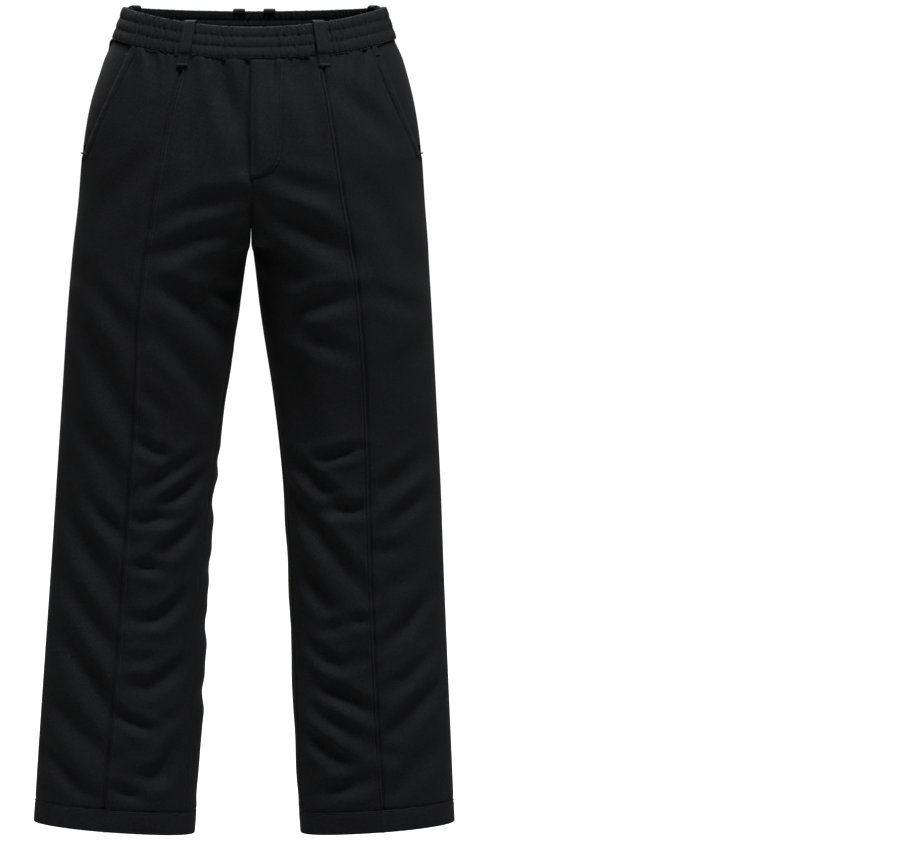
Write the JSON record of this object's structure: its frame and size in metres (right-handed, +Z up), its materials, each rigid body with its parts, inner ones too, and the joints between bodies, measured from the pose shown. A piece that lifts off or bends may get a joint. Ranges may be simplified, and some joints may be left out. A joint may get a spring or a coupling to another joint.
{
  "type": "knit chino trousers",
  "caption": "Dark knit pull-on chino trousers with gathered elastic waistband, belt loops, slant and welt pockets, filled out as worn.",
  "frame": {"origin": "on the axis of the waist, level with the middle of the waistband at the side seams", "axes": "+Z up from hems to waist, -Y towards the front (fly), +X towards the wearer's left leg"},
  "size_m": [0.5359, 0.2666, 1.0478],
  "materials": {
    "knit": "matte crepe-faced jersey",
    "waistband_knit": "matte gathered jersey over elastic",
    "trim_knit": "matte jersey, folded and stitched"
  },
  "bodies": {
    "root": {"waistband": "waistband_knit", "front_right": "knit", "back_right": "knit", "hip_facing_right": "trim_knit", "pocket_welt_right": "trim_knit", "back_welt_right": "trim_knit", "hem_right": "trim_knit", "front_left": "knit", "back_left": "knit", "hip_facing_left": "trim_knit", "pocket_welt_left": "trim_knit", "back_welt_left": "trim_knit", "hem_left": "trim_knit", "fly_placket": "trim_knit", "belt_loop_front_right": "trim_knit", "belt_loop_front_left": "trim_knit", "belt_loop_side_right": "trim_knit", "belt_loop_side_left": "trim_knit", "belt_loop_back_right": "trim_knit", "belt_loop_back_left": "trim_knit"}
  },
  "joints": []
}
